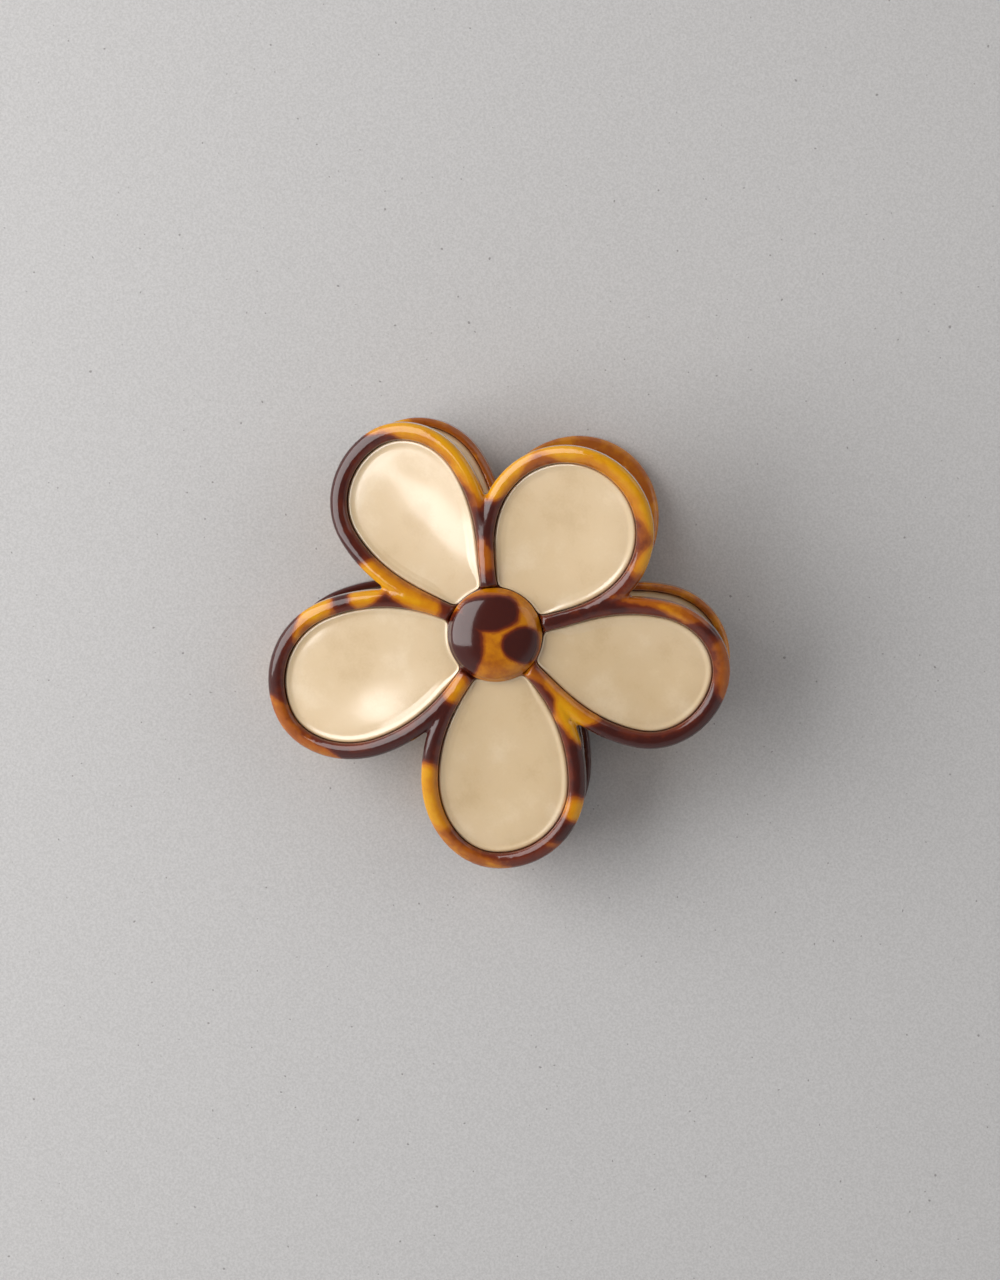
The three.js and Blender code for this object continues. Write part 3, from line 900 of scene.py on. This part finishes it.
def steel_material():
    """Drawn steel with fine scratches along the wire."""
    material, nodes, links, shader = new_material("steel")
    place = nodes.new("ShaderNodeTexCoord").outputs["Object"]
    stretch = nodes.new("ShaderNodeMapping")
    stretch.inputs["Scale"].default_value = (0.2, 1, 1)
    links.new(place, stretch.inputs["Vector"])
    scratches = noise_node(nodes, links, stretch.outputs["Vector"], 6000, 3, 0.6)
    tarnish = noise_node(nodes, links, place, 300, 3)
    colour = ramp_node(nodes, links, tarnish, [
        (0.3, (0.38, 0.37, 0.35)), (0.7, (0.60, 0.60, 0.58)),
    ])
    links.new(colour, shader.inputs["Base Color"])
    shader.inputs["Metallic"].default_value = 1.0
    rough = math_node(nodes, links, "MULTIPLY_ADD", scratches, 0.2)
    rough.node.inputs[2].default_value = 0.2
    links.new(rough, shader.inputs["Roughness"])
    bump_node(nodes, links, scratches, 0.15, 0.00003, shader)
    return material


def paper_material():
    """Warm grey paper with a fine speckle."""
    material, nodes, links, shader = new_material("paper")
    place = nodes.new("ShaderNodeTexCoord").outputs["Object"]
    speckle = noise_node(nodes, links, place, 2400, 3, 0.7)
    colour = ramp_node(nodes, links, speckle, [
        (0.3, (0.485, 0.478, 0.472)), (0.7, (0.585, 0.577, 0.571)),
    ])
    fleck = noise_node(nodes, links, place, 1100, 1, 0.3)
    fleck = math_node(nodes, links, "MULTIPLY_ADD", fleck, -22.0, True)
    fleck.node.inputs[2].default_value = 17.9
    speckled = nodes.new("ShaderNodeMix")
    speckled.data_type = "RGBA"
    links.new(fleck, speckled.inputs["Factor"])
    speckled.inputs[6].default_value = (0.30, 0.29, 0.285, 1)
    links.new(colour, speckled.inputs[7])
    links.new(speckled.outputs[2], shader.inputs["Base Color"])
    shader.inputs["Roughness"].default_value = 0.9
    shader.inputs["Specular IOR Level"].default_value = 0.2
    bump_node(nodes, links, speckle, 0.25, 0.0001, shader)
    return material


# ---- Assembly ----

def finish_piece(piece, material, slot, body, *cad_nodes):
    """Gives a piece its material and its body, and hides the CAD nodes it stands for."""
    piece.data.materials.append(material)
    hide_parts(*cad_nodes)
    if body:
        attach(piece, body)


tortoise = tortoise_material()
pearl = pearl_material()
steel = steel_material()

for side, pattern in (("front", FRONT_PATTERN), ("rear", REAR_PATTERN)):
    body = f"{side}_jaw"
    finish_piece(make_frame(side, pattern), tortoise, "tortoise_plastic", body, f"{side}_frame")
    finish_piece(make_button(side), tortoise, "tortoise_plastic", body, f"{side}_button")
    for place in PLACES:
        inlay = make_inlay(side, place)
        finish_piece(inlay, pearl, "pearl_inlay", body, f"{side}_inlay_{place}")

finish_piece(make_pin(), steel, "spring_steel", "rear_jaw", "hinge_pin")
spring = make_spring()
finish_piece(spring, steel, "spring_steel", None, "torsion_spring")
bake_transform(spring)

# ---- Floor, light and camera ----

FLOOR_HALF = 1.5
FLOOR_HEIGHT = -0.0001
floor_mesh = bpy.data.meshes.new("paper_floor")
floor_corners = [(-1, -1), (1, -1), (1, 1), (-1, 1)]
floor_mesh.from_pydata([(FLOOR_HALF * x, FLOOR_HALF * y, FLOOR_HEIGHT) for x, y in floor_corners], [],
                       [(0, 1, 2, 3)])
floor_mesh.materials.append(paper_material())
floor = bpy.data.objects.new("paper_floor", floor_mesh)
bpy.context.scene.collection.objects.link(floor)

# The picture's directions on the floor: the clip's mouth-to-lever line points up and right.
PICTURE_TURN = math.radians(35.0)
picture_right = Vector((math.cos(PICTURE_TURN), math.sin(PICTURE_TURN), 0))
picture_up = Vector((-math.sin(PICTURE_TURN), math.cos(PICTURE_TURN), 0))
hub_top = to_row((0, 0, HUB_HEIGHT))


def area_light(name, right, up, rise, width, height, watts, colour):
    """A softbox at a place given in the picture's directions, aimed at the hub."""
    light = bpy.data.lights.new(name, "AREA")
    light.shape = "RECTANGLE"
    light.size = width
    light.size_y = height
    light.energy = watts
    light.color = colour
    lamp = bpy.data.objects.new(name, light)
    lamp.location = hub_top + picture_right * right + picture_up * up + Vector((0, 0, rise))
    aim = (hub_top - lamp.location).normalized()
    lamp.rotation_euler = aim.to_track_quat("-Z", "Y").to_euler()
    bpy.context.scene.collection.objects.link(lamp)
    return lamp


area_light("key_window", -0.56, 0.09, 0.37, 0.76, 0.72, 6.8, (1.0, 0.99, 0.985))
area_light("fill_card", 0.62, 0.25, 0.50, 0.5, 0.7, 0.95, (1.0, 0.94, 0.89))

world = bpy.data.worlds.new("studio")
bpy.context.scene.world = world
world.use_nodes = True
world_nodes, world_links = world.node_tree.nodes, world.node_tree.links
sky = world_nodes.new("ShaderNodeTexCoord").outputs["Generated"]
split = world_nodes.new("ShaderNodeSeparateXYZ")
world_links.new(sky, split.inputs["Vector"])
room = ramp_node(world_nodes, world_links, split.outputs["Z"], [
    (0.0, (0.62, 0.62, 0.63)), (0.55, (0.50, 0.50, 0.51)), (0.82, (0.16, 0.16, 0.165)),
])
world_links.new(room, world_nodes["Background"].inputs["Color"])
world_nodes["Background"].inputs["Strength"].default_value = 1.0

CAMERA_RISE = 0.420
CAMERA_LENS = 68.6
CAMERA_PLAN = Vector((0.00124, -0.00315, 0))
camera_data = bpy.data.cameras.new("camera")
camera_data.sensor_width = 36.0
camera_data.lens = CAMERA_LENS
camera = bpy.data.objects.new("camera", camera_data)
camera.location = CAMERA_PLAN + Vector((0, 0, hub_top.z + CAMERA_RISE))
camera.rotation_euler = (0, 0, PICTURE_TURN)
bpy.context.scene.collection.objects.link(camera)
bpy.context.scene.camera = camera
bpy.context.scene.view_settings.view_transform = "Standard"
